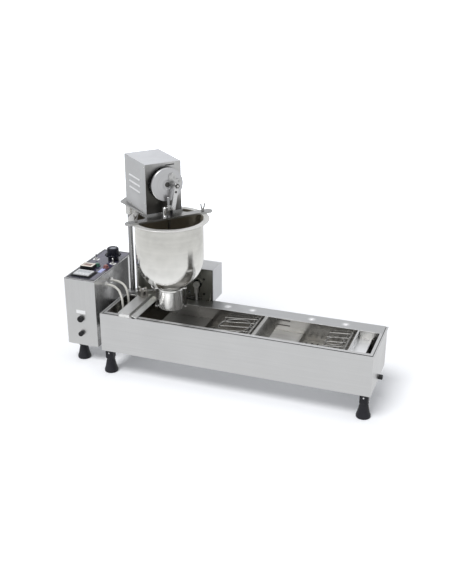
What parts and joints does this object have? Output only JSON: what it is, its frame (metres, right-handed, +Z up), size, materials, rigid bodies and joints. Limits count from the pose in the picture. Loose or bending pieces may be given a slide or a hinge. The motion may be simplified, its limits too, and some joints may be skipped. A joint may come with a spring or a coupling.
{
  "type": "automatic donut machine",
  "caption": "Benchtop donut fryer: hopper with a crank-driven dosing plunger over a long oil trough with two wire flippers, control box and discharge chute.",
  "frame": {"origin": "middle of the machine's footprint, on the bench", "axes": "+Z up; +X along the trough, from the control box to the discharge end; +Y from the trough's front to the drive box behind it"},
  "size_m": [1.0592, 0.385, 0.702],
  "materials": {
    "housing_steel": "satin",
    "deck_steel": "brushed",
    "tank_steel": "satin",
    "polished_steel": "polished",
    "bright_steel": "machined",
    "cover_paint": "satin",
    "motor_steel": "painted",
    "bearing_bronze": "cast",
    "heater_sheath": "satin",
    "panel_film": "gloss",
    "bezel_plastic": "satin",
    "black_plastic": "satin",
    "green_plastic": "gloss",
    "red_plastic": "gloss",
    "foot_rubber": "matte"
  },
  "bodies": {
    "frame": {"trough_housing": "housing_steel", "control_housing": "housing_steel", "control_back_cover": "housing_steel", "discharge_chute": "housing_steel", "back_deck": "deck_steel", "bridge_plate": "deck_steel", "landing_tray": "deck_steel", "gear_front_plate": "deck_steel", "oil_tank": "tank_steel", "tank_partition": "tank_steel", "transfer_tray": "tank_steel", "hopper_bowl": "polished_steel", "nozzle": "polished_steel", "column": "polished_steel", "yoke_bar": "bright_steel", "motor_base": "bright_steel", "head_clamp": "bright_steel", "column_base": "bright_steel", "guide_posts": "bright_steel", "nozzle_rods": "bright_steel", "screws": "bright_steel", "heater_fittings": "bright_steel", "drain_spigot": "bright_steel", "toggle_bodies": "bright_steel", "button_collars": "bright_steel", "motor_cover": "cover_paint", "gear_box_cover": "cover_paint", "head_gearmotor": "motor_steel", "drive_motor": "motor_steel", "bearing_block": "bearing_bronze", "heating_element": "heater_sheath", "control_panel": "panel_film", "temperature_controller": "bezel_plastic", "counter_display": "bezel_plastic", "knob_regulator": "black_plastic", "cable_gland": "black_plastic", "wiring_duct": "black_plastic", "rubber_feet": "foot_rubber"},
    "crank": {"crank_disc": "polished_steel", "crank_bracket": "bright_steel"},
    "rod": {"connecting_rod": "bright_steel"},
    "plunger": {"plunger_rod": "polished_steel", "crosshead": "bright_steel", "forming_piston": "polished_steel"},
    "left_wing_bolt": {"wing_bolt_left": "bright_steel"},
    "right_wing_bolt": {"wing_bolt_right": "bright_steel"},
    "knob": {"power_knob": "black_plastic"},
    "front_toggle": {"toggle_lever_front": "bright_steel"},
    "rear_toggle": {"toggle_lever_rear": "bright_steel"},
    "start": {"start_button": "green_plastic"},
    "stop": {"stop_button": "red_plastic"},
    "reset": {"reset_cap": "black_plastic"},
    "fuse": {"fuse_cap": "black_plastic"},
    "drain": {"drain_cap": "black_plastic"},
    "basket_one": {"flipper_one": "bright_steel"},
    "basket_two": {"flipper_two": "bright_steel"},
    "push_bar": {"flipper_link": "bright_steel"},
    "throw_lever": {"drive_lever": "bright_steel"},
    "lift": {"lift_rod": "bright_steel"},
    "rocker": {"rocker_arm": "bright_steel"}
  },
  "joints": [
    {"name": "crank_turn", "type": "hinge", "parent": "frame", "child": "crank", "pos_m": [-0.17199, -0.05455, 0.637], "axis": [-0.749, 0.6626, 0], "continuous": true},
    {"name": "rod_turn", "type": "hinge", "parent": "crank", "child": "rod", "pos_m": [-0.14469, -0.052, 0.637], "axis": [-0.749, 0.6626, 0], "continuous": true},
    {"name": "plunger_slide", "type": "slide", "parent": "frame", "child": "plunger", "axis": [0, 0, 1], "range_m": [-0.02, 0.02]},
    {"name": "left_bolt_turn", "type": "hinge", "parent": "frame", "child": "left_wing_bolt", "pos_m": [-0.23854, -0.14788, 0.539], "axis": [0, 0, 1], "continuous": true},
    {"name": "right_bolt_turn", "type": "hinge", "parent": "frame", "child": "right_wing_bolt", "pos_m": [-0.08746, 0.02288, 0.539], "axis": [0, 0, 1], "continuous": true},
    {"name": "knob_turn", "type": "hinge", "parent": "frame", "child": "knob", "pos_m": [-0.44965, 0.0895, 0.3], "axis": [0, 0, 1], "range_deg": [-150, 150]},
    {"name": "front_toggle_tilt", "type": "hinge", "parent": "frame", "child": "front_toggle", "pos_m": [-0.43465, 0.0565, 0.304], "axis": [1, 0, 0], "range_deg": [-14, 14]},
    {"name": "rear_toggle_tilt", "type": "hinge", "parent": "frame", "child": "rear_toggle", "pos_m": [-0.50765, 0.0735, 0.304], "axis": [1, 0, 0], "range_deg": [-14, 14]},
    {"name": "start_press", "type": "slide", "parent": "frame", "child": "start", "axis": [0, 0, 1], "range_m": [-0.003, 0], "stiffness_N_per_m": 600, "springref_m": 0.001},
    {"name": "stop_press", "type": "slide", "parent": "frame", "child": "stop", "axis": [0, 0, 1], "range_m": [-0.003, 0], "stiffness_N_per_m": 600, "springref_m": 0.001},
    {"name": "reset_turn", "type": "hinge", "parent": "frame", "child": "reset", "pos_m": [-0.47565, -0.1115, 0.159], "axis": [0, 1, 0], "continuous": true},
    {"name": "fuse_turn", "type": "hinge", "parent": "frame", "child": "fuse", "pos_m": [-0.47565, -0.1115, 0.106], "axis": [0, 1, 0], "continuous": true},
    {"name": "drain_turn", "type": "hinge", "parent": "frame", "child": "drain", "pos_m": [0.52235, -0.0485, 0.0948], "axis": [1, 0, 0], "continuous": true},
    {"name": "basket_one_turn", "type": "hinge", "parent": "frame", "child": "basket_one", "pos_m": [0.11835, -0.0735, 0.206], "axis": [0, 1, 0], "range_deg": [0, 130]},
    {"name": "basket_two_turn", "type": "hinge", "parent": "frame", "child": "basket_two", "pos_m": [0.42035, -0.0735, 0.206], "axis": [0, 1, 0], "range_deg": [0, 130]},
    {"name": "push_bar_turn", "type": "hinge", "parent": "basket_one", "child": "push_bar", "pos_m": [0.14191, 0.019, 0.19501], "axis": [0, 1, 0], "range_deg": [-130, 0]},
    {"name": "throw_lever_turn", "type": "hinge", "parent": "frame", "child": "throw_lever", "pos_m": [-0.12065, 0.0475, 0.273], "axis": [0, 1, 0], "range_deg": [0, 34]},
    {"name": "lift_slide", "type": "slide", "parent": "frame", "child": "lift", "axis": [0, 0, 1], "range_m": [-0.002, 0.002]},
    {"name": "rocker_turn", "type": "hinge", "parent": "frame", "child": "rocker", "pos_m": [-0.289, -0.01779, 0.252], "axis": [0.6626, 0.749, 0], "range_deg": [-4, 4]}
  ],
  "couplings": [
    {"joint": "rod_turn", "follows": "crank_turn", "ratio": -1},
    {"joint": "basket_two_turn", "follows": "basket_one_turn", "ratio": 1},
    {"joint": "push_bar_turn", "follows": "basket_one_turn", "ratio": -1},
    {"joint": "throw_lever_turn", "follows": "basket_one_turn", "ratio": 0.26},
    {"joint": "rocker_turn", "follows": "lift_slide", "rad_per_m": 31.25}
  ]
}
